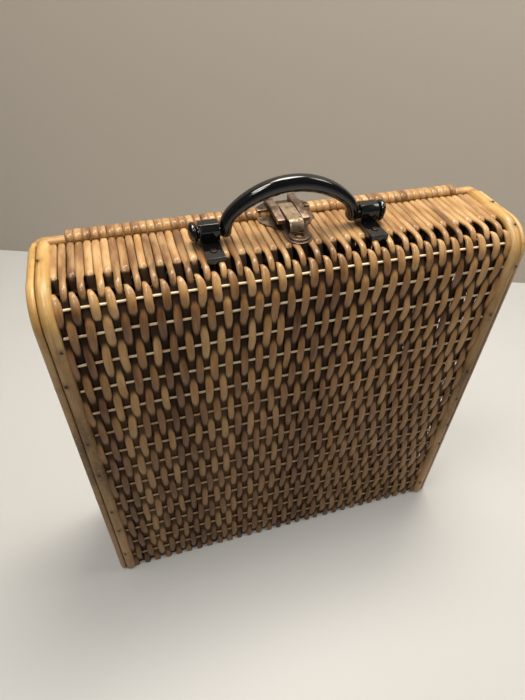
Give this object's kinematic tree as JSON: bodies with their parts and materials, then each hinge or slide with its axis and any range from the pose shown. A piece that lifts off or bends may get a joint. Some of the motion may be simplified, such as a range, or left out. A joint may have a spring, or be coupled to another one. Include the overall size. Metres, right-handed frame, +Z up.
{
  "type": "wicker picnic case",
  "caption": "Rigid wicker picnic case standing upright: woven tray with a hinged woven lid, cane edge rails, a black swing handle in brackets and a bronze latch.",
  "frame": {"origin": "middle of the case at floor level, under its bounding box", "axes": "+Z up, +X along the case's length, -Y out of the tray's woven front, lid at +Y"},
  "size_m": [0.3788, 0.092, 0.4135],
  "materials": {
    "woven_rod": "satin",
    "cane_rail": "varnished",
    "pale_strip": "satin",
    "black_plastic": "gloss",
    "bronze": "antique",
    "rivet": "antique"
  },
  "bodies": {
    "tray": {"tray_weave": "woven_rod", "tray_skewers": "pale_strip", "tray_floor": "woven_rod", "left_edge_rail": "cane_rail", "right_edge_rail": "cane_rail", "left_foot_rail": "cane_rail", "right_foot_rail": "cane_rail", "left_side_rail": "cane_rail", "right_side_rail": "cane_rail", "left_side_sill": "cane_rail", "right_side_sill": "cane_rail", "left_end_panel": "woven_rod", "right_end_panel": "woven_rod", "tray_rim_top": "cane_rail", "tray_rim_bottom": "cane_rail", "tray_rim_left": "cane_rail", "tray_rim_right": "cane_rail", "left_handle_bracket": "black_plastic", "right_handle_bracket": "black_plastic", "bracket_rivets": "rivet", "catch_plate": "bronze", "left_tray_leaf": "bronze", "right_tray_leaf": "bronze"},
    "lid": {"lid_weave": "woven_rod", "lid_skewers": "pale_strip", "lid_left_edge_rail": "cane_rail", "lid_right_edge_rail": "cane_rail", "lid_left_side_rail": "cane_rail", "lid_right_side_rail": "cane_rail", "lid_rim_top": "cane_rail", "lid_rim_bottom": "cane_rail", "lid_rim_left": "cane_rail", "lid_rim_right": "cane_rail", "hasp_plate": "bronze", "latch_pin": "bronze", "left_lid_leaf": "bronze", "right_lid_leaf": "bronze"},
    "handle": {"carry_handle": "black_plastic"},
    "latch": {"latch_tongue": "bronze"}
  },
  "joints": [
    {"name": "lid_hinge", "type": "hinge", "parent": "tray", "child": "lid", "pos_m": [0, 0.0303, 0.002], "axis": [-1, 0, 0], "range_deg": [0, 150]},
    {"name": "handle_swing", "type": "hinge", "parent": "tray", "child": "handle", "pos_m": [0, 0.00249, 0.3766], "axis": [1, 0, 0], "range_deg": [-60, 88]},
    {"name": "latch_lift", "type": "hinge", "parent": "lid", "child": "latch", "pos_m": [0.0045, 0.0291, 0.3763], "axis": [-1, 0, 0], "range_deg": [0, 25]}
  ]
}
